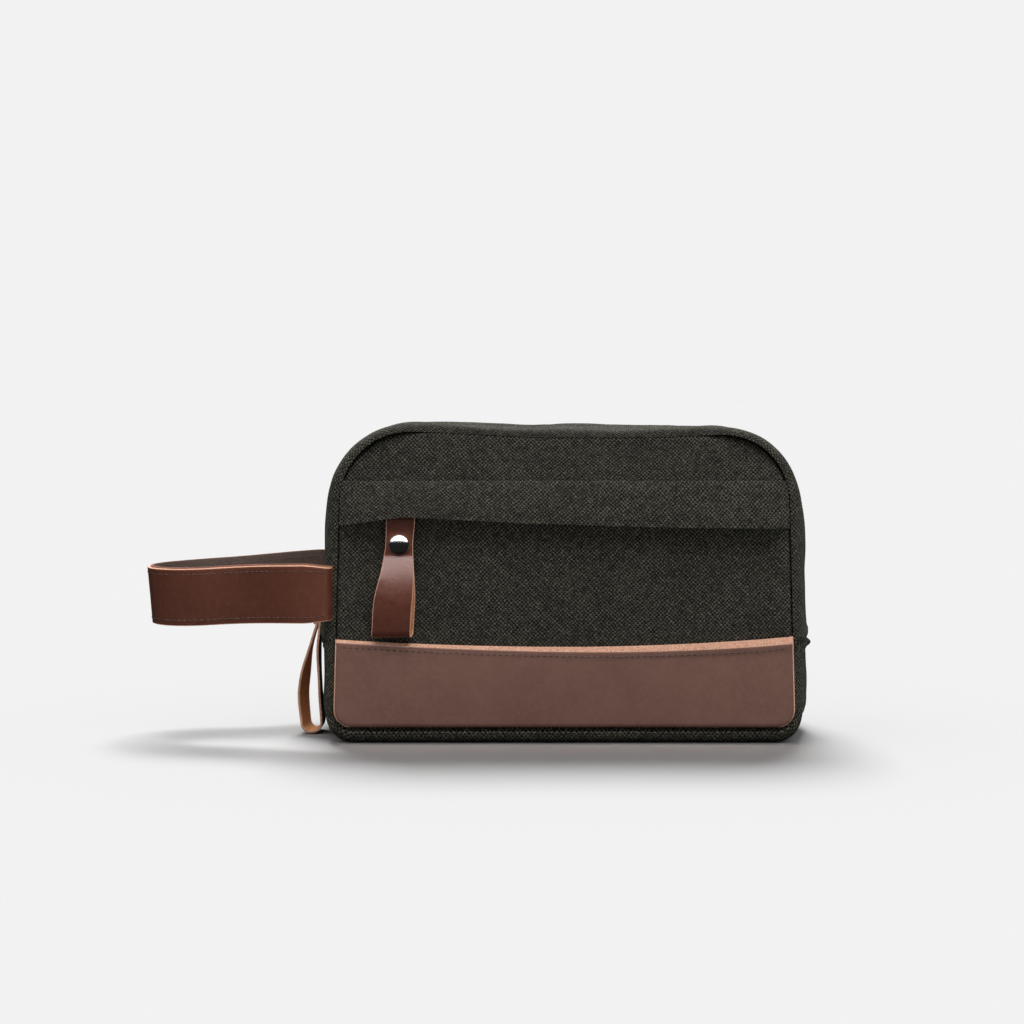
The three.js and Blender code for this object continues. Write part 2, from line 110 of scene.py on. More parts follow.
def gusset_at(run, y, lift):
    """A point of the gusset at a distance along the seam, a depth, and a lift above the cloth."""
    x, z = (np.interp(run, SEAM_RUN, SEAM_POINTS[:, i]) for i in (0, 1))
    wx, wz = (np.interp(run, SEAM_RUN, SEAM_WAYS[:, i]) for i in (0, 1))
    inward = np.clip((SEAM_DEPTH - abs(y)) / (7 - 2.5 * np.clip(-wz, 0, 1)), 0, 1)
    roll = np.sqrt(1 - (1 - inward) ** 2)
    middle = np.cos(np.pi / 2 * np.clip(y / SEAM_DEPTH, -1, 1)) ** 2
    swell = np.where(x < 0, 4.5, 7) * (1 - smooth((z - 110) / 56))
    level = np.where(wz > 0, 2.9, 8.5) * roll
    lean = panel_lean(z) * np.clip(wz, 0, 1) * smooth((100 - abs(x)) / 25) * (1 - inward)
    belly = 2.4 * np.clip(-wz, 0, 1) * np.sin(np.pi * np.sqrt(inward))
    away = (5 * roll + swell * middle) * wx**2 + level * wz**2
    uneven = lumps(run, y, 46, 3) * 0.55 + lumps(run, y, 17, 4) * 0.2
    away = away + lift + uneven * inward * np.where(z < 12, 0.25, 1)
    x, high = widen(x + away * wx, z), np.maximum(z + away * wz, 0)
    return x, y + np.sign(y) * (belly - lean), sag(x, y, high)


def cloth(name, columns, rows, place, finishes, thickness, turn_over=False, bevel=0.0, closed=False):
    """A sheet laid out by place(u, v), which gives x, y, z and two lengths along the weave in mm."""
    bpy.ops.object.select_all(action="DESELECT")
    bpy.ops.mesh.primitive_grid_add(x_subdivisions=columns, y_subdivisions=rows, size=1)
    piece = bpy.context.object
    piece.name = piece.data.name = name
    spot = np.empty(len(piece.data.vertices) * 3)
    piece.data.vertices.foreach_get("co", spot)
    u, v = spot.reshape(-1, 3)[:, 0] + 0.5, spot.reshape(-1, 3)[:, 1] + 0.5
    x, y, z, across, along = (np.broadcast_to(value, u.shape) for value in place(u, v))
    piece.data.vertices.foreach_set("co", (np.stack([x, y, z], 1) * 0.001).ravel())
    corners = np.empty(len(piece.data.loops), np.int32)
    piece.data.loops.foreach_get("vertex_index", corners)
    piece.data.uv_layers[0].name = "weave"
    weave = np.stack([across, along], 1)[corners] * 0.001
    piece.data.uv_layers[0].data.foreach_set("uv", weave.astype(np.float32).ravel())
    bpy.ops.object.mode_set(mode="EDIT")
    bpy.ops.mesh.select_all(action="SELECT")
    if turn_over:
        bpy.ops.mesh.flip_normals()
    if closed:
        bpy.ops.mesh.remove_doubles(threshold=0.00001)
    bpy.ops.object.mode_set(mode="OBJECT")
    for finish in finishes:
        piece.data.materials.append(finish)
    wall = piece.modifiers.new("wall", "SOLIDIFY")
    wall.thickness, wall.offset = thickness * 0.001, -1
    wall.material_offset = 1 if len(finishes) > 1 else 0
    wall.material_offset_rim = len(finishes) - 1
    bpy.ops.object.modifier_apply(modifier="wall")
    if bevel:
        edges = piece.modifiers.new("edges", "BEVEL")
        edges.width, edges.segments = bevel * 0.001, 2
        edges.limit_method, edges.angle_limit = "ANGLE", np.radians(60)
        edges.material = len(finishes) - 1
        bpy.ops.object.modifier_apply(modifier="edges")
    bpy.ops.object.shade_smooth_by_angle(angle=np.radians(50))
    return piece


def node(tree, kind, inputs=None, **settings):
    """A shader node whose inputs take values, or are linked to other nodes' outputs."""
    made = tree.nodes.new("ShaderNode" + kind)
    for name, value in settings.items():
        setattr(made, name, value)
    for name, value in (inputs or {}).items():
        if isinstance(value, bpy.types.NodeSocket):
            tree.links.new(value, made.inputs[name])
        else:
            made.inputs[name].default_value = value
    return made


def maths(tree, operation, a, b=0.5):
    return node(tree, "Math", {0: a, 1: b}, operation=operation).outputs[0]


def blank(name, **values):
    """A new material, its node tree and its shader, with values set on the shader's own sockets."""
    finish = bpy.data.materials.new(name)
    finish.use_nodes = True
    shader = finish.node_tree.nodes["Principled BSDF"]
    for socket, value in values.items():
        shader.inputs[socket.replace("_", " ")].default_value = value
    return finish, finish.node_tree, shader


def mixed(tree, amount, a, b):
    made = node(tree, "Mix", {"Factor": amount}, data_type="RGBA")
    for index, value in ((6, a), (7, b)):
        if isinstance(value, bpy.types.NodeSocket):
            tree.links.new(value, made.inputs[index])
        else:
            made.inputs[index].default_value = (*value, 1)
    return made.outputs[2]


def canvas_weave(name, dark, light, fleck, pitch, relief):
    """Plain-woven cotton: round threads over and under each other, with slubs and pale flecks."""
    finish, tree, shader = blank(name, Roughness=0.95, Specular_IOR_Level=0.06)
    weave = node(tree, "UVMap", uv_map="weave").outputs[0]
    wander = node(tree, "TexNoise", {"Vector": weave, "Scale": 300.0, "Detail": 2.0}).outputs[1]
    wander = node(tree, "VectorMath", {0: wander, 1: (0.5, 0.5, 0.5)}, operation="SUBTRACT").outputs[0]
    wander = node(tree, "VectorMath", {0: wander, "Scale": 0.002}, operation="SCALE").outputs[0]
    bent = node(tree, "VectorMath", {0: weave, 1: wander}, operation="ADD").outputs[0]
    cells = node(tree, "VectorMath", {0: bent, "Scale": 1 / pitch}, operation="SCALE").outputs[0]
    split = node(tree, "SeparateXYZ", {0: cells}).outputs
    waves = [maths(tree, "SINE", maths(tree, "MULTIPLY", split[i], np.pi)) for i in (0, 1)]
    product = maths(tree, "MULTIPLY", *waves)
    lattice = maths(tree, "MULTIPLY_ADD", product, 0.58)
    lattice.node.inputs[2].default_value = 0.42
    crown = maths(tree, "ABSOLUTE", product)
    cell = node(tree, "VectorMath", {0: cells}, operation="FLOOR").outputs[0]
    cell = node(tree, "TexWhiteNoise", {"Vector": cell}, noise_dimensions="2D").outputs[0]
    patch = node(tree, "TexNoise", {"Vector": weave, "Scale": 260.0, "Detail": 4.0}).outputs[0]
    cloudy = node(tree, "TexNoise", {"Vector": weave, "Scale": 38.0, "Detail": 3.0}).outputs[0]
    shade = maths(tree, "MULTIPLY", lattice, node(tree, "MapRange", {0: cell, 3: 0.6, 4: 1.3}).outputs[0])
    for uneven, low, high in ((patch, 0.55, 1.45), (cloudy, 0.8, 1.2)):
        spread = node(tree, "MapRange", {0: uneven, 1: 0.25, 2: 0.75, 3: low, 4: high}).outputs[0]
        shade = maths(tree, "MULTIPLY", shade, spread)
    colour = mixed(tree, shade, dark, light)
    spots = node(tree, "TexNoise", {"Vector": weave, "Scale": 900.0, "Detail": 2.0}).outputs[0]
    spots = node(tree, "MapRange", {0: spots, 1: 0.66, 2: 0.74}).outputs[0]
    colour = mixed(tree, maths(tree, "MULTIPLY", spots, 0.55), colour, fleck)
    tree.links.new(colour, shader.inputs["Base Color"])
    fuzz = node(tree, "TexNoise", {"Vector": weave, "Scale": 2600.0, "Detail": 3.0}).outputs[0]
    height = maths(tree, "MULTIPLY_ADD", fuzz, 0.25)
    tree.links.new(maths(tree, "POWER", crown, 0.5), height.node.inputs[2])
    bump = node(tree, "Bump", {"Height": height, "Strength": 1.0, "Distance": relief})
    tree.links.new(bump.outputs[0], shader.inputs["Normal"])
    return finish


canvas = canvas_weave(
    "charcoal canvas", (0.0035, 0.0033, 0.0025), (0.108, 0.104, 0.084), (0.24, 0.22, 0.17), 0.0011, 0.0004
)
inner_cloth = canvas_weave(
    "dark lining cloth", (0.006, 0.006, 0.006), (0.04, 0.038, 0.036), (0.05, 0.05, 0.047), 0.0006, 0.00012
)


ROLLED = 9.4  # cloth that goes into the roll beside a seam


def from_seam(length, deep):
    """How far in from the seam a length of cloth reaches, once it has gone over the roll."""
    turn = np.clip(length / ROLLED, 0, 1) * np.pi / 2
    return deep * (1 - np.cos(turn)) + np.maximum(length - ROLLED, 0)


def zipped_gusset(side):
    def place(u, v):
        run, length = u * ZIPPED, v * (42.5 + ROLLED)
        y = side * (SEAM_DEPTH - from_seam(length, 7))
        fold = np.clip((5.7 - abs(y)) / 1.2, 0, 1)
        edge = np.minimum(run, ZIPPED - run)
        ridge = 0.9 * np.exp(-(((edge - 2.4) / 2.0) ** 2)) * smooth((SEAM_DEPTH - abs(y)) / 6)
        tuck = 1.6 * smooth(1 - edge / 1.6)
        x, y, z = gusset_at(run, y, -1.2 * (1 - np.sqrt(1 - fold**2)) + ridge - tuck)
        return x, y, z, run, length

    return place


def bottom_gusset(u, v):
    run = ZIPPED + u * (ROUND - ZIPPED)
    deep = 7 - 2.5 * np.clip(-np.interp(run, SEAM_RUN, SEAM_WAYS[:, 1]), 0, 1)
    across = v * 2 - 1
    y = np.sign(across) * (SEAM_DEPTH - from_seam((1 - abs(across)) * (SEAM_DEPTH - deep + ROLLED), deep))
    edge = np.minimum(run - ZIPPED, ROUND - run)
    ridge = 1.5 * np.exp(-(((edge - 2.6) / 1.9) ** 2)) * smooth((SEAM_DEPTH - abs(y)) / 6)
    tuck = 1.8 * smooth(1 - edge / 1.8)
    x, y, z = gusset_at(run, y, ridge - tuck)
    return x, y, z, run, across * (SEAM_DEPTH - deep + ROLLED)


for half, side in (("front", -1), ("back", 1)):
    piece = cloth(f"zipped_gusset_{half}", 270, 34, zipped_gusset(side), [canvas], 1.3, side < 0)
    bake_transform(piece)
    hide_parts(*(f"gusset_{half}_{place}" for place in ("left", "top", "right")))
piece = cloth("bottom_gusset_cloth", 210, 60, bottom_gusset, [canvas], 1.3, False)
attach(piece, "bag_body")
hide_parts("bottom_gusset")


# Front and back panels.
# Three pieces of the same canvas: one whole back, and a front cut in two by the pocket's zip. Each is
# cut to the seam outline, and its edges turn back into the seam, which leaves a groove by the gusset.
PANEL_FRONT = 56.0


def inside_seam(x, z):
    """How far a point of a panel is inside the seam outline, before the bag's taper."""
    side = np.minimum(121 - abs(x), np.minimum(166 - z, z - 8.5))
    top = 37 - np.hypot(np.maximum(abs(x) - 84, 0), np.maximum(z - 129, 0))
    foot = 10 - np.hypot(np.maximum(abs(x) - 111, 0), np.maximum(18.5 - z, 0))
    side = np.where((abs(x) > 84) & (z > 129), top, side)
    return np.where((abs(x) > 111) & (z < 18.5), foot, side)


def seam_half_width(z):
    top = 84 + np.sqrt(np.maximum(37**2 - np.maximum(z - 129, 0) ** 2, 0))
    foot = 111 + np.sqrt(np.maximum(10**2 - np.maximum(18.5 - z, 0) ** 2, 0))
    return np.where(z > 129, top, np.where(z < 18.5, foot, 121))


def even_out(t, ends):
    """Spaces rows closer together at the ends of a sheet."""
    return (1 - ends) * t + ends * (0.5 - 0.5 * np.cos(np.pi * t))


def panel_at(x, z, seed):
    """Depth of a panel's face: flat with a slight crown and unevenness, and turned in at its seam."""
    inside = np.clip(inside_seam(x, z), 0, None)
    radius = 3.6 - 2.6 * smooth((z - 152) / 10) * smooth((88 - abs(x)) / 20)
    turn = np.clip(1 - inside / radius, 0, 1)
    uneven = lumps(x, z, 60, seed) * 0.8 + lumps(x, z, 21, seed + 1) * 0.25
    face = PANEL_FRONT - 0.5 - panel_lean(z) + uneven * smooth(inside / 25)
    return face - radius * (1 - np.sqrt(1 - turn**2))


def panel(side, low, high, seed, folded):
    """folded is the height of an edge that is turned in beside the pocket's zip, or None."""

    def place(u, v):
        z = low + (high - low) * even_out(v, 0.7)
        x = (even_out(u, 0.55) * 2 - 1) * seam_half_width(z)
        y = panel_at(x, z, seed)
        if folded:
            turn = np.clip(1 - abs(z - folded) / 1.4, 0, 1)
            y = y - 1.4 * (1 - np.sqrt(1 - turn**2))
        return widen(x, z), side * y, sag(x, side * y, z), x, z

    return place


PANELS = (
    ("front_panel_above_zip", "front_top_panel", -1, 131.1, 166, 11, 131.1, (0.236, 0.0357), 0.0082),
    ("pocket_front", "pocket_panel", -1, 8.5, 122.9, 12, 122.9, (0.2425, 0.115), 0.0277),
    ("back_of_bag", "back_panel", 1, 8.5, 166, 13, None, (0.2425, 0.158), 0.0376),
)
for name, stands_for, side, low, high, seed, folded, flat, area in PANELS:
    rows = int((high - low) / 1.6) + 10
    piece = cloth(name, 150, rows, panel(side, low, high, seed, folded), [canvas], 1.2, side > 0)
    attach(piece, "bag_body")
    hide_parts(stands_for)


# Linings.
# Thin dark cloth: a loose open-topped bag inside the compartment, and the back of the front pocket.
# Both are sewn into the same seams as the panels.


def lining_round(u, v):
    low, high = 359.1, 833.8  # from the right leg's top round the foot to the left leg's top
    run = low + u * (high - low)
    x, z = (np.interp(run % ROUND, SEAM_RUN, SEAM_POINTS[:, i]) for i in (0, 1))
    wx, wz = (np.interp(run % ROUND, SEAM_RUN, SEAM_WAYS[:, i]) for i in (0, 1))
    y = -45.2 + v * 95
    loose = -3.6 + lumps(run, y, 40, 21) * 0.7
    roll = np.sqrt(np.clip(1 - (1 - (SEAM_DEPTH - abs(y)) / 7).clip(0) ** 2, 0, 1))
    away = loose + roll * np.where(wz < -0.5, 6.5, 4.5)
    return widen(x + away * wx, z), y, z + away * wz, run, v * 95


def lining_wall(y, seed):
    def place(u, v):
        z = 5 + v * 123
        x = (u * 2 - 1) * (seam_half_width(np.maximum(z, 9)) + 1.5)
        return widen(x, z), y + lumps(x, z, 45, seed) * 0.5 * smooth(v * (1 - v) * 20), z, x, z

    return place


def pocket_lining(u, v):
    z = 8 + v * 157
    x = (u * 2 - 1) * seam_half_width(np.clip(z, 9, 165.5))
    return widen(x, z), -47.4 + lumps(x, z, 50, 24) * 0.3, z, x, z


LININGS = (
    ("lining_round", 190, 40, lining_round, True, (0.475, 0.095), None),
    ("lining_front_wall", 100, 52, lining_wall(-45.3, 22), False, (0.243, 0.123), "lining_bag"),
    ("lining_back_wall", 100, 52, lining_wall(49.6, 23), True, (0.243, 0.123), None),
    ("pocket_back_lining", 100, 66, pocket_lining, False, (0.243, 0.157), "pocket_backing"),
)
for name, columns, rows, place, over, flat, stands_for in LININGS:
    piece = cloth(name, columns, rows, place, [inner_cloth], 0.6, over)
    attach(piece, "bag_body")
    if stands_for:
        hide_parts(stands_for)


# Zips.
# Both zips are black woven tape with dark moulded teeth. The long one runs in the gusset from joint to
# joint, and the short one crosses the front behind the flap. The tapes are sewn under the cloth edges.
def woven_tape():
    finish, tree, shader = blank("black zip tape", Roughness=0.85)
    weave = node(tree, "UVMap", uv_map="weave").outputs[0]
    ribs = node(tree, "TexWave", {"Vector": weave, "Scale": 560.0, "Distortion": 1.0}, bands_direction="X")
    colour = mixed(tree, ribs.outputs[1], (0.006, 0.006, 0.006), (0.017, 0.016, 0.015))
    tree.links.new(colour, shader.inputs["Base Color"])
    bump = node(tree, "Bump", {"Height": ribs.outputs[1], "Distance": 0.0002})
    tree.links.new(bump.outputs[0], shader.inputs["Normal"])
    return finish


def dull(name, low, high, scale, roughness, relief, **values):
    """A plain hard finish with mottled colour and a fine uneven skin, on the object's own place."""
    finish, tree, shader = blank(name, Roughness=roughness, **values)
    place = node(tree, "TexCoord").outputs["Object"]
    mottle = node(tree, "TexNoise", {"Vector": place, "Scale": scale, "Detail": 5.0}).outputs[0]
    spread = node(tree, "MapRange", {0: mottle, 1: 0.3, 2: 0.7}).outputs[0]
    tree.links.new(mixed(tree, spread, low, high), shader.inputs["Base Color"])
    bump = node(tree, "Bump", {"Height": mottle, "Distance": relief})
    tree.links.new(bump.outputs[0], shader.inputs["Normal"])
    return finish


zip_tape = woven_tape()
zip_teeth = dull("dark moulded teeth", (0.008, 0.008, 0.007), (0.028, 0.026, 0.023), 900.0, 0.38, 0.00004)


def copies(name, template, spots, finish):
    """One mesh of many copies of template. A spot is a place, then where its X, Y and Z point."""
    corners = np.array([v.co for v in template.data.vertices])
    faces = [list(p.vertices) for p in template.data.polygons]
    points, sides = [], []
    for count, (place, *ways) in enumerate(spots):
        points.extend((np.array(place) + corners @ np.array(ways)) * 0.001)
        sides.extend([i + count * len(corners) for i in face] for face in faces)
    mesh = bpy.data.meshes.new(name)
    mesh.from_pydata(points, [], sides)
    mesh.shade_smooth()
    mesh.materials.append(finish)
    piece = bpy.data.objects.new(name, mesh)
    bpy.context.collection.objects.link(piece)
    return piece


def tooth():
    """One tooth, made once: a bar across the tape with a rounded head at the middle of the zip."""
    bpy.ops.object.select_all(action="DESELECT")
    bpy.ops.mesh.primitive_cube_add(size=1)
    made = bpy.context.object
    made.name = "tooth"
    bpy.ops.object.mode_set(mode="EDIT")
    bpy.ops.transform.resize(value=(1.15, 2.3, 1.5))
    bpy.ops.mesh.bevel(offset=0.28, segments=1, affect="EDGES")
    bpy.ops.object.mode_set(mode="OBJECT")
    return made


def frame_on_gusset(run, y, lift):
    """Where something small sits on the gusset: its place, then along, across and out of the cloth."""
    here = np.array(gusset_at(np.array(run), np.array(float(y)), lift), float)
    ahead = np.array(gusset_at(np.array(run + 0.5), np.array(float(y)), lift), float)
    along = (ahead - here) / np.linalg.norm(ahead - here)
    across = np.array([0.0, 1.0, 0.0])
    out = np.cross(along, across)
    return here, along, across, -out if out @ (here - (0, 0, 80)) < 0 else out


teeth_template = tooth()
for half, side in (("front", -1), ("back", 1)):

    def tape(u, v):
        run, y = u * ZIPPED, side * (0.4 + v * 11.6)
        x, y, z = gusset_at(run, y, -1.7)
        return x, y, z, run, v * 11.6

    piece = cloth(f"main_tape_{half}", 270, 6, tape, [zip_tape], 0.6, side > 0)
    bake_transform(piece)
    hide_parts(*(f"main_tape_{half}_{place}" for place in ("left", "top", "right")))
    step = 1.9
    offset = 0 if side < 0 else step / 2
    spots = [frame_on_gusset(run + offset, side * 1.1, -0.55) for run in np.arange(1, ZIPPED - 2, step)]
    piece = copies(f"main_teeth_{half}", teeth_template, spots, zip_teeth)
    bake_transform(piece)
    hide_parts(*(f"main_teeth_{half}_{place}" for place in ("left", "top", "right")))

for name, side in (("upper", 1), ("lower", -1)):

    def pocket_tape(u, v):
        x, z = (u * 2 - 1) * 116, 127 + side * (0.4 + v * 11.6)
        return x, -53.9 + 0 * x, z, x, v * 11.6

    piece = cloth(f"pocket_tape_{name}", 120, 5, pocket_tape, [zip_tape], 0.6, side < 0)
    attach(piece, "bag_body")
    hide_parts(f"front_tape_{name}")
    shift = 0 if side < 0 else 0.95
    out, wide, tall = np.array([0, -1, 0]), np.array([1, 0, 0]), np.array([0, 0, 1])
    places = np.arange(-113, 112, 1.9) + shift
    spots = [((x, -55.2, 127 + side * 1.1), wide, tall, out) for x in places]
    piece = copies(f"pocket_teeth_{name}", teeth_template, spots, zip_teeth)
    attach(piece, "bag_body")
    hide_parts(f"front_teeth_{name}")

bpy.data.objects.remove(teeth_template)


# Stitching in the canvas.
# Dark grey thread holds the folded edges down: beside the long zip, round the joints at both ends,
# and in pale thread along the foot, just under the leather.
def stitch(length, thick):
    """One stitch, made once: a short fat thread that dips into the cloth at both ends."""
    bpy.ops.object.select_all(action="DESELECT")
    bpy.ops.mesh.primitive_uv_sphere_add(segments=8, ring_count=6, radius=0.5)
    made = bpy.context.object
    bpy.ops.object.mode_set(mode="EDIT")
    bpy.ops.mesh.select_all(action="SELECT")
    bpy.ops.transform.resize(value=(length, thick, thick))
    bpy.ops.object.mode_set(mode="OBJECT")
    return made


def thread(name, low, high):
    return dull(name, low, high, 2200.0, 0.75, 0.00008)


grey_thread = thread("dark grey thread", (0.02, 0.019, 0.016), (0.05, 0.048, 0.04))
pale_thread = thread("pale thread", (0.1, 0.09, 0.07), (0.2, 0.18, 0.15))
short_stitch = stitch(2.5, 0.6)
for half, side in (("front", -1), ("back", 1)):
    spots = [frame_on_gusset(run, side * 8.2, 0.05) for run in np.arange(4, ZIPPED - 4, 3.3)]
    piece = copies(f"zip_stitches_{half}", short_stitch, spots, grey_thread)
    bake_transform(piece)
spots = []
for run in (ZIPPED + 6.2, ROUND - 6.2):
    for y in np.arange(-45, 46, 3.3):
        here, along, across, out = frame_on_gusset(run, y, 0.35)
        spots.append((here, across, along, out))
piece = copies("joint_stitches", short_stitch, spots, grey_thread)
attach(piece, "bag_body")
fine_stitch = stitch(2.0, 0.55)
spots = [frame_on_gusset(run, -53.82, 0.12) for run in np.arange(ZIPPED + 46, ROUND - 46, 3.0)]
piece = copies("foot_stitches", fine_stitch, spots, pale_thread)
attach(piece, "bag_body")


# Pocket flap.
# A doubled strip of canvas sewn on above the pocket's zip and caught in both side seams. It bulges
# over the slider, and its folded lower edge hangs free. It is built in two halves that meet unseen.
FLAP_LOW_X = (-119.6, -100, -87, -74, -22, 19, 60, 119.6)
FLAP_LOW_Z = (117.2, 120.1, 121.8, 121.3, 118.7, 117.4, 116.3, 115.8)


def flap(start, end):
    def place(u, v):
        x = start + (end - start) * u
        down = np.clip(v / 0.93, 0, 1)
        under = np.clip((v - 0.93) / 0.07, 0, 1)
        low = np.interp(x, FLAP_LOW_X, FLAP_LOW_Z)
        pinch = 1 - 0.72 * smooth((abs(x) - 108) / 12)
        bulge = 9.4 * down**0.55 - 0.8 * smooth(down * 4 - 3)
        bulge = bulge + 0.9 * np.exp(-(((x + 87) / 10) ** 2) - ((down - 0.4) / 0.3) ** 2)
        bulge = bulge + lumps(x, down * 22, 38, 31) * 0.55 * down
        crease = 0.15 * (1 - smooth(down / 0.09))
        y = -56.4 - bulge * pinch + crease - 0.9 * np.sin(np.pi * under)
        y = y + 2.2 * under + 2.6 * smooth((abs(x) - 116.5) / 4)
        z = 140.2 - (140.2 - low) * down - 0.9 * np.sin(np.pi * under)
        return widen(x, z), y, z, x, v * 25 + 2

    return place


for name, start, end, seam in (("left", -120.6, 0, -0.1206), ("right", 120.6, 0, 0.1206)):
    piece = cloth(f"pocket_flap_{name}", 84, 34, flap(start, end), [canvas], 1.1, start < 0)
    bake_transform(piece)
    if name == "left":
        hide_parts("pocket_flap")


# End tab.
# A short folded strip of canvas sewn into the joint on the right end, as a grip for closing the zip.
TAB_HEIGHT = 49.5


def end_tab(u, v):
    bend = np.pi * (v - 0.5)
    across = (u - 0.5) * 2
    reach = 4.0 * np.cos(bend) * (1 - across**4) ** 0.5 * (1 + 0.06 * lumps(u * 18, v * 8, 9, 41))
    y = across * 12
    foot = widen(132.2, JOINT)
    return foot + reach, y, TAB_HEIGHT + 3.0 * np.sin(bend) * (1 - 0.35 * np.cos(bend)), u * 24, v * 12


piece = cloth("end_tab_cloth", 24, 22, end_tab, [canvas], 1.1)
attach(piece, "bag_body")
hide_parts("end_tab")


# Leather band.
# A thick strip of smooth brown leather covers the foot of the front. Its sides and foot go into the
# seams, and its top edge is left raw and sewn down with one row of dark thread.
def leather(name, dark, mid, light, roughness, grain):
    """Smooth finished leather: cloudy colour, fine grain and shallow pores."""
    finish, tree, shader = blank(name, Specular_IOR_Level=0.45)
    place = node(tree, "TexCoord").outputs["Object"]
    clouds = node(tree, "TexNoise", {"Vector": place, "Scale": 34.0, "Detail": 4.0}).outputs[0]
    clouds = node(tree, "MapRange", {0: clouds, 1: 0.3, 2: 0.7}).outputs[0]
    mottle = node(tree, "TexNoise", {"Vector": place, "Scale": 420.0, "Detail": 5.0}).outputs[0]
    colour = mixed(tree, clouds, dark, mid)
    streak = node(tree, "MapRange", {0: mottle, 1: 0.42, 2: 0.75}).outputs[0]
    colour = mixed(tree, maths(tree, "MULTIPLY", streak, 0.55), colour, light)
    tree.links.new(colour, shader.inputs["Base Color"])
    rough = node(tree, "MapRange", {0: mottle, 3: roughness - 0.08, 4: roughness + 0.1}).outputs[0]
    tree.links.new(rough, shader.inputs["Roughness"])
    pores = node(tree, "TexVoronoi", {"Vector": place, "Scale": 1500.0}).outputs[0]
    creases = node(tree, "TexNoise", {"Vector": place, "Scale": 1100.0, "Detail": 4.0}).outputs[0]
    height = maths(tree, "ADD", maths(tree, "MULTIPLY", pores, 0.6), creases)
    bump = node(tree, "Bump", {"Height": height, "Strength": 0.6, "Distance": grain})
    tree.links.new(bump.outputs[0], shader.inputs["Normal"])
    return finish


def raw_leather(name, dark, light, scale, relief):
    """Cut edge or inner side of leather: pale fibres with darker flecks."""
    finish, tree, shader = blank(name, Roughness=0.85)
    place = node(tree, "TexCoord").outputs["Object"]
    fibres = node(tree, "TexNoise", {"Vector": place, "Scale": scale, "Detail": 6.0, "Roughness": 0.7})
    spread = node(tree, "MapRange", {0: fibres.outputs[0], 1: 0.35, 2: 0.62}).outputs[0]
    tree.links.new(mixed(tree, spread, dark, light), shader.inputs["Base Color"])
    bump = node(tree, "Bump", {"Height": fibres.outputs[0], "Distance": relief})
    tree.links.new(bump.outputs[0], shader.inputs["Normal"])
    return finish


brown_leather = leather(
    "brown leather", (0.141, 0.068, 0.052), (0.171, 0.087, 0.066), (0.19, 0.099, 0.077), 0.4, 0.00005
)
flesh_side = raw_leather("flesh side", (0.19, 0.075, 0.03), (0.42, 0.2, 0.09), 1500.0, 0.00012)
raw_edge = raw_leather("raw cut edge", (0.42, 0.2, 0.13), (0.78, 0.45, 0.31), 1300.0, 0.0001)
brown_thread = thread("dark brown thread", (0.006, 0.003, 0.002), (0.02, 0.009, 0.006))


BAND_FOOT = 9.0  # height of the band's lower edge
BAND_STITCH_DROP = 2.4  # from the lower side of the cut edge down to the stitches


def band_top(x):
    return 52.0 + np.where(x < 0, 3.9, 5.5) * (x / 121) ** 2


def band_chamfer(x):
    return 1.6 + 2.2 * smooth((x + 115) / 230)


def band_face(x, z):
    inside = inside_seam(x, z)
    turn = np.clip(1 - inside / 2.4, 0, 1)
    return 58.0 - 1.8 * (1 - np.sqrt(1 - turn**2)) + lumps(x, z, 70, 51) * 0.25


def band_flare(x, up):
    """How far the top of the band stands off, up being the share of its height below the cut edge."""
    return 0.45 * smooth(up * 8 - 7) * smooth((x + 80) / 200)


def band(u, v):
    slope = np.clip((v - 0.94) / 0.06, 0, 1)
    x = (even_out(u, 0.5) * 2 - 1) * 121
    top, cut = band_top(x), band_chamfer(x)
    z = BAND_FOOT + (top - cut - BAND_FOOT) * np.clip(v / 0.94, 0, 1)
    x = x * seam_half_width(np.maximum(z, BAND_FOOT)) / 121
    y = -band_face(x, z) + 1.0 * slope - band_flare(x, v / 0.94)
    z = z + cut * slope
    return widen(x, z), y, z, x, z


def paint(piece, index, chosen):
    """Gives the faces that chosen(x, y, z) picks, by the middle of each in mm, another finish."""
    for face in piece.data.polygons:
        if face.material_index == 0 and chosen(*(face.center * 1000)):
            face.material_index = index


piece = cloth("foot_band", 170, 50, band, [brown_leather, flesh_side, raw_edge], 1.5, False, 0.35)


def on_band_edge(x, y, z):
    cut = band_top(x) - band_chamfer(x) + 0.05
    return z > cut or inside_seam(x / widen(1, z), z) < 0.7


paint(piece, 2, on_band_edge)
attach(piece, "bag_body")
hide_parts("leather_band")
spots = []
for x in np.arange(-116, 117, 3.3):
    z = band_top(x) - band_chamfer(x) - BAND_STITCH_DROP
    lean = np.array([1, 0, 2 * (4.7 / 121**2) * x])
    lean = lean / np.linalg.norm(lean)
    up = (z - BAND_FOOT) / (z + BAND_STITCH_DROP - BAND_FOOT)
    y = -band_face(x, z) - band_flare(x, up) - 0.14
    spots.append(((widen(x, z), y, z), lean, (0, 1, 0), np.cross(lean, (0, 1, 0))))
piece = copies("band_stitches", fine_stitch, spots, brown_thread)
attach(piece, "bag_body")


# Wrist handle.
# Two strips of leather back to back in a long loop, smooth brown outside and rough and dark inside.
# They are sewn together along both edges, left raw, and their ends go into the two left seams.
def bezier(a, b, c, d, count):
    t = np.linspace(0, 1, count)[:, None]
    a, b, c, d = (np.array(point, float) for point in (a, b, c, d))
    return (1 - t) ** 3 * a + 3 * (1 - t) ** 2 * t * b + 3 * (1 - t) * t**2 * c + t**3 * d


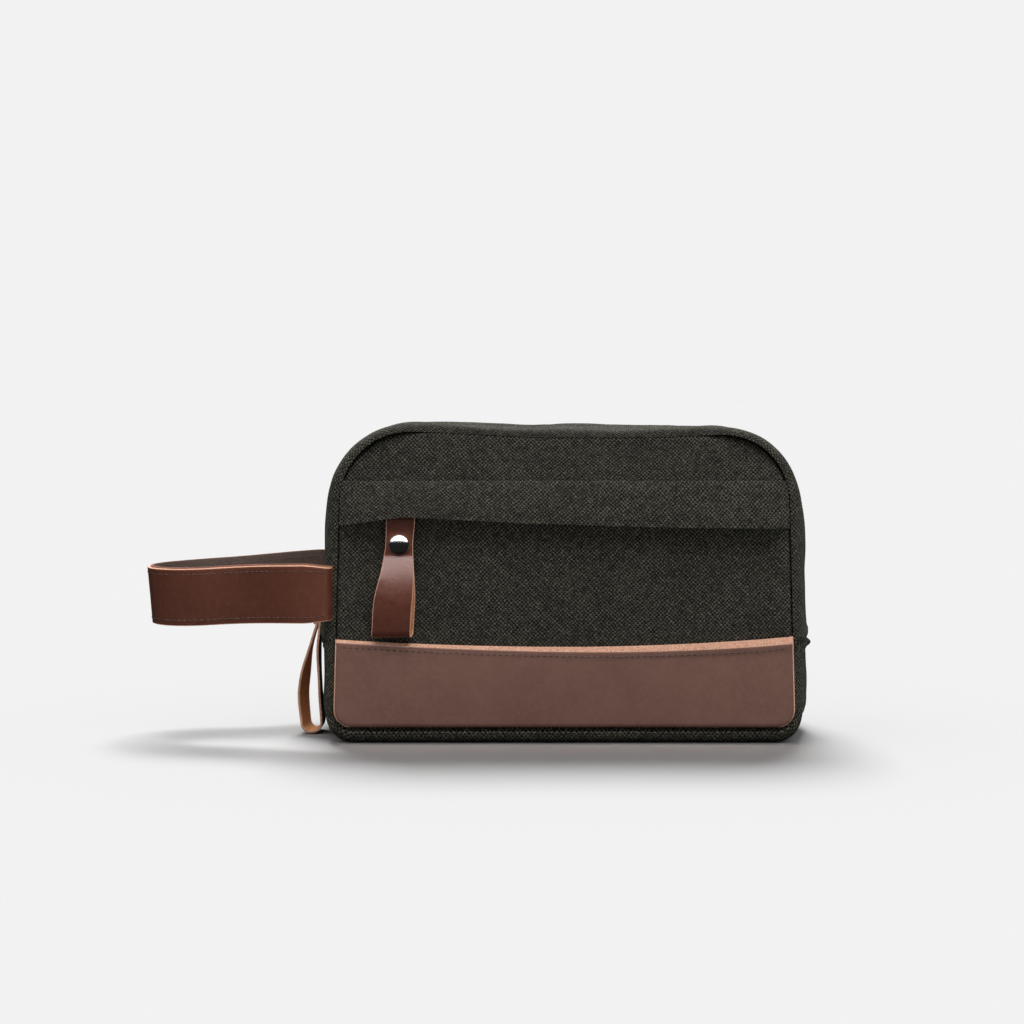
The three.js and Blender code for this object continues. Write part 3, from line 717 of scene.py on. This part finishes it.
def handle_route():
    leg = bezier((-121.4, -57.4), (-150, -58.0), (-160, -34.5), (-191.7, -34.5), 60)
    angles = np.linspace(-np.pi / 2, -3 * np.pi / 2, 60)
    bend = np.stack([-191.7 + 34.5 * np.cos(angles), 34.5 * np.sin(angles)], 1)
    points = np.concatenate([leg, bend[1:-1], leg[::-1] * (1, -1)])
    run = np.concatenate([[0], np.cumsum(np.hypot(*np.diff(points, axis=0).T))])
    return run, points


HANDLE_RUN, HANDLE_POINTS = handle_route()
HANDLE_LENGTH = HANDLE_RUN[-1]


def handle_at(run, offset, height):
    """A point of the handle: height is from -0.5 to 0.5 of its width, offset is outwards."""
    x, y = (np.interp(run, HANDLE_RUN, HANDLE_POINTS[:, i]) for i in (0, 1))
    ahead, behind = (
        [np.interp(run + way, HANDLE_RUN, HANDLE_POINTS[:, i]) for i in (0, 1)] for way in (1, -1)
    )
    step = [ahead[i] - behind[i] for i in (0, 1)]
    length = np.hypot(*step)
    away = -121.4 - x
    width = 31 - 3 * (1 - smooth(away / 18))
    droop = 4.5 * smooth(away / 106.6)
    back = smooth((run / HANDLE_LENGTH - 0.55) / 0.3) * 0.4
    z = 80 - droop + back + height * width
    offset = offset + height * 2.7 * smooth(away / 60)
    dive = np.sign(y) * 6.6 * (1 - smooth(away / 4.5))
    return x - offset * step[1] / length, y + offset * step[0] / length - dive, z


def handle_layer(offset, rise):
    def place(u, v):
        run, height = u * HANDLE_LENGTH, v - 0.5
        uneven = lumps(run, v * 31, 55, 61) * 0.35
        x, y, z = handle_at(run, offset + uneven, height)
        return x, y, z + rise * smooth((v - 0.5) * 2), run, v * 31

    return place


dark_flesh = raw_leather("dark inner leather", (0.02, 0.011, 0.008), (0.06, 0.034, 0.023), 1200.0, 0.00015)
dark_edge = raw_leather("dark red cut edge", (0.05, 0.012, 0.008), (0.11, 0.03, 0.02), 1400.0, 0.0001)
handle_leather = leather(
    "handle leather", (0.08, 0.024, 0.012), (0.104, 0.03, 0.0155), (0.124, 0.042, 0.024), 0.36, 0.00006
)
OUTSIDE_FINISHES = [handle_leather, flesh_side, raw_edge]
INSIDE_FINISHES = [dark_flesh, flesh_side, dark_edge]
HANDLE_LAYERS = (
    ("handle_outside", "handle_outer", 1.7, 0, OUTSIDE_FINISHES, "leather", True),
    ("handle_inside", "handle_lining", -1.7, 0.9, INSIDE_FINISHES, "leather_lining", False),
)
for name, stands_for, offset, rise, finishes, slot, over in HANDLE_LAYERS:
    piece = cloth(name, 200, 20, handle_layer(offset, rise), finishes, 1.5, over, 0.4)
    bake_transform(piece)
    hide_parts(stands_for)
for name, offset in (("handle_stitches_outside", 1.72), ("handle_stitches_inside", -1.72)):
    spots = []
    for run in np.arange(6, HANDLE_LENGTH - 5, 3.3):
        for height in (-0.402, 0.402):
            uneven = float(lumps(run, (height + 0.5) * 31, 55, 61) * 0.35)
            here, ahead = (np.array(handle_at(r, offset + uneven, height)) for r in (run, run + 0.5))
            along = (ahead - here) / np.linalg.norm(ahead - here)
            out = np.cross(along, (0, 0, 1))
            spots.append((here, along, np.cross(out, along), out))
    piece = copies(name, fine_stitch, spots, brown_thread)
    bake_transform(piece)


# Zip pulls.
# Each is one strip of leather folded through the slider's wire loop and back on itself, and riveted
# below the fold. Its lower end hangs as an open loop, with the rough side of the leather inside.
FRONT_SLIDER = np.array([-86.7, -56.2, 127.0])
MAIN_SLIDER = np.array([-130.74, 0.0, 84.8])
PULLS = {
    "front": dict(bottom=-69.8, radius=4.4, out=4.5, slope=0.0, tuck=0.0, lean=-0.061, skew=-1.5, turn=0.0),
    "main": dict(bottom=-84.3, radius=5.4, out=4.4, slope=0.05, tuck=2.2, lean=0.13, skew=0.0, turn=0.15),
}
FOLD = np.array([2.95, -7.8])  # middle of the fold, outwards and up from the slider
RIVET_DROP = 20.7


def pull_route(pull):
    """Outer side of the folded strap, outwards and up, from the back of the pinch round by the foot."""
    pinch = 1.5
    middle = np.array([pull["out"], pull["bottom"] + pull["radius"]])
    halfway = (-29 + middle[1]) / 2
    back_low, front_low = FOLD[0] - pinch, FOLD[0] + pinch
    angles = np.linspace(np.pi, 2 * np.pi, 24)[:, None]
    foot = middle + pull["radius"] * np.concatenate([np.cos(angles), np.sin(angles)], 1)
    angles = np.linspace(0, np.pi, 20)[:, None]
    top = FOLD + 2.45 * np.concatenate([np.cos(angles), np.sin(angles)], 1)
    points = np.concatenate([
        [(back_low, -13.3), (back_low, -21)],
        bezier((back_low, -29), (back_low, halfway), (foot[0][0], halfway), foot[0], 30),
        foot[1:-1],
        bezier(foot[-1], (foot[-1][0] + 2.0, halfway + 1), (front_low + 1.9, -33), (front_low, -26), 30),
        [(front_low, -21), (front_low, -13.3)],
        top,
        [(back_low, -13.3)],
    ])
    run = np.concatenate([[0], np.cumsum(np.hypot(*np.diff(points, axis=0).T))])
    return run, points


def pull_shift(pull, u, v):
    """Sideways shift, outward shift and turn of a strap at u outwards and v up."""
    outer = smooth((-v - 30) / 25) * smooth((u - pull["out"] + pull["radius"]) / (2 * pull["radius"]))
    hang = np.maximum(0, FOLD[1] - v)
    outwards = pull["slope"] * hang - pull["tuck"] * smooth((-v - 60) / 24)
    return pull["lean"] * hang + pull["skew"] * outer, outwards, pull["turn"] * outer


def pull_strap(name, seed):
    pull = PULLS[name]
    run, points = pull_route(pull)

    def place(u, v):
        at = u * run[-1]
        out, up = (np.interp(at, run, points[:, i]) for i in (0, 1))
        width = 7.6 + 2.6 * smooth((-up - RIVET_DROP) / 31.3) - 0.35 * np.exp(-(((up + 19) / 6) ** 2))
        across = (v * 2 - 1) * width
        shift, slope, turn = pull_shift(pull, out, up)
        soft = lumps(at, across, 30, seed) * 0.3 * smooth((-up - 28) / 12)
        x, y, z = across + shift, -(out + slope + turn * across + soft), up
        if name == "main":
            x, y = y, -x
        corner = FRONT_SLIDER if name == "front" else MAIN_SLIDER
        return corner[0] + x, corner[1] + y, corner[2] + z, at, across

    return place


def rivet(name, radius, height, place, aim, finish):
    """A domed rivet head: half a flattened ball, cut flat behind, with a short straight edge."""
    bpy.ops.object.select_all(action="DESELECT")
    bpy.ops.mesh.primitive_uv_sphere_add(segments=40, ring_count=24, radius=radius)
    made = bpy.context.object
    made.name = made.data.name = name
    bpy.ops.object.mode_set(mode="EDIT")
    bpy.ops.mesh.select_all(action="SELECT")
    bpy.ops.transform.resize(value=(1, 1, height / radius))
    bpy.ops.mesh.bisect(plane_co=(0, 0, 0), plane_no=(0, 0, 1), clear_inner=True, use_fill=True)
    bpy.ops.mesh.extrude_region_move(TRANSFORM_OT_translate={"value": (0, 0, -0.5)})
    bpy.ops.mesh.select_all(action="SELECT")
    bpy.ops.mesh.normals_make_consistent(inside=False)
    bpy.ops.object.mode_set(mode="OBJECT")
    made.data.materials.append(finish)
    made.scale = (0.001, 0.001, 0.001)
    made.rotation_euler = Vector(aim).to_track_quat("Z", "Y").to_euler()
    made.location = Vector(place) * 0.001
    bpy.ops.object.transform_apply(location=True, rotation=True, scale=True)
    bpy.ops.object.shade_smooth_by_angle(angle=np.radians(50))
    return made


chrome = dull("polished chrome", (0.72, 0.72, 0.71), (0.82, 0.82, 0.81), 300.0, 0.1, 0.000008, Metallic=1.0)
pull_leather = leather(
    "pull leather", (0.072, 0.02, 0.0115), (0.095, 0.028, 0.017), (0.118, 0.039, 0.025), 0.3, 0.00007
)
tan_flesh = raw_leather("tan flesh side", (0.3, 0.11, 0.035), (0.62, 0.3, 0.13), 1500.0, 0.00015)
for name, corner, seed in (("front", FRONT_SLIDER, 71), ("main", MAIN_SLIDER, 72)):
    finishes = [pull_leather, tan_flesh, raw_edge]
    piece = cloth(f"{name}_pull", 150, 16, pull_strap(name, seed), finishes, 1.3, True, 0.3, True)
    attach(piece, f"{name}_pull")
    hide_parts(f"{name}_pull_strap")
    shift, slope, _ = pull_shift(PULLS[name], FOLD[0], -RIVET_DROP)
    aim = np.array([0, -1, 0]) if name == "front" else np.array([-1, 0, 0])
    across = np.array([1, 0, 0]) if name == "front" else np.array([0, -1, 0])
    middle = corner + across * shift + aim * (FOLD[0] + slope) + (0, 0, -RIVET_DROP)
    for part, radius, height, step, way in (("cap", 5.6, 2.4, 2.1, 1), ("post", 4.0, 0.6, 2.0, -1)):
        head = f"{name}_rivet_{part}_head"
        piece = rivet(head, radius, height, middle + aim * step * way, aim * way, chrome)
        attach(piece, f"{name}_pull")
        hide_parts(f"{name}_rivet_{part}")


# Sliders and stops.
# Cast and plated in dark metal: a slider with its wire loop on each zip, and a stop at each end.
# Their edges are slightly rounded by tumbling.
dark_metal = dull(
    "dark plated metal", (0.06, 0.055, 0.05), (0.16, 0.15, 0.135), 700.0, 0.32, 0.00003, Metallic=1.0
)
SLIDERS = ("front_slider", "front_slider_loop", "main_slider", "main_slider_loop")
STOPS = ("front_stop_left", "front_stop_right", "main_stop")
for name in (*SLIDERS, *STOPS):
    piece = nodes[name]
    piece.data.materials.clear()
    piece.data.materials.append(dark_metal)
    joined = piece.modifiers.new("joined", "WELD")
    joined.merge_threshold = 0.00001
    edges = piece.modifiers.new("edges", "BEVEL")
    edges.width, edges.segments = 0.0002, 2
    edges.limit_method, edges.angle_limit = "ANGLE", np.radians(40)

for template in (short_stitch, fine_stitch):
    bpy.data.objects.remove(template)


# Studio.
# The bag stands on a wide pale floor under an even pale sky, with one broad soft light high behind it
# and a weaker one from the front. The camera stands in front, a little above the bag.
def stage_floor():
    """The floor is evenly pale to the camera and bounces light as a mid grey, but is painted near black in
    glossy reflections: a painted dark reflection in the rivets and leather.
    """
    bpy.ops.object.select_all(action="DESELECT")
    bpy.ops.mesh.primitive_plane_add(size=60)
    floor = bpy.context.object
    floor.name = "floor"
    finish, tree, shader = blank("pale floor", Roughness=1.0, Specular_IOR_Level=0.0)
    ray = node(tree, "LightPath").outputs
    # Painted reflection: glossy rays see the floor near black, so mirrored parts show painted dark; bounce
    # light sees it mid grey.
    bounce_and_painted_dark_reflection = mixed(tree, ray["Is Glossy Ray"], (0.6, 0.6, 0.6), (0.012, 0.012, 0.012))
    colour = mixed(tree, ray["Is Camera Ray"], bounce_and_painted_dark_reflection, (0.71, 0.71, 0.71))
    tree.links.new(colour, shader.inputs["Base Color"])
    floor.data.materials.append(finish)
    return floor


def soft_light(name, strength, spread, aim):
    lamp = bpy.data.lights.new(name, "SUN")
    lamp.energy, lamp.angle = strength, np.radians(spread)
    light = bpy.data.objects.new(name, lamp)
    light.rotation_euler = Vector(aim).to_track_quat("-Z", "Y").to_euler()
    bpy.context.collection.objects.link(light)
    return light


soft_light("high light behind", 3.5, 28, (0.03, -0.56, -0.83))
front_light = soft_light("high light in front", 2.1, 40, (-0.12, 0.47, -0.88))
shaded = bpy.data.collections.new("not lit from the front")
shaded.objects.link(stage_floor())
front_light.light_linking.receiver_collection = shaded
shaded.collection_objects[0].light_linking.link_state = "EXCLUDE"
world = bpy.data.worlds.new("pale sky")
bpy.context.scene.world = world
world.use_nodes = True
sky = world.node_tree
way = node(sky, "SeparateXYZ", {0: node(sky, "TexCoord").outputs["Generated"]}).outputs
overhead = node(sky, "MapRange", {0: way[2], 1: 0.22, 2: 0.5}).outputs[0]
in_front = node(sky, "MapRange", {0: way[1], 1: -0.1, 2: -0.4}).outputs[0]
panel_of_light = node(sky, "MapRange", {0: way[2], 1: 0.36, 2: 0.56}).outputs[0]
panel_of_light = maths(sky, "MULTIPLY", panel_of_light, in_front)
ray = node(sky, "LightPath").outputs
soft = mixed(sky, overhead, (0.14, 0.14, 0.14), (0.36, 0.36, 0.36))
mirrored = mixed(sky, overhead, (0.02, 0.02, 0.02), (1.1, 1.1, 1.1))
mirrored = mixed(sky, panel_of_light, mirrored, (14.0, 14.0, 13.8))
lit = mixed(sky, ray["Is Glossy Ray"], soft, mirrored)
seen = mixed(sky, ray["Is Camera Ray"], lit, (0.888, 0.888, 0.888))
sky.links.new(seen, sky.nodes["Background"].inputs[0])
bpy.context.scene.view_settings.view_transform = "Standard"
camera = bpy.data.objects.new("camera", bpy.data.cameras.new("camera"))
bpy.context.collection.objects.link(camera)
camera.data.lens, camera.data.sensor_width = 86.2, 36
camera.location = (-0.0278, -1.354, 0.190)
camera.rotation_euler = Vector((0, 1.3, -0.0665)).to_track_quat("-Z", "Y").to_euler()
bpy.context.scene.camera = camera
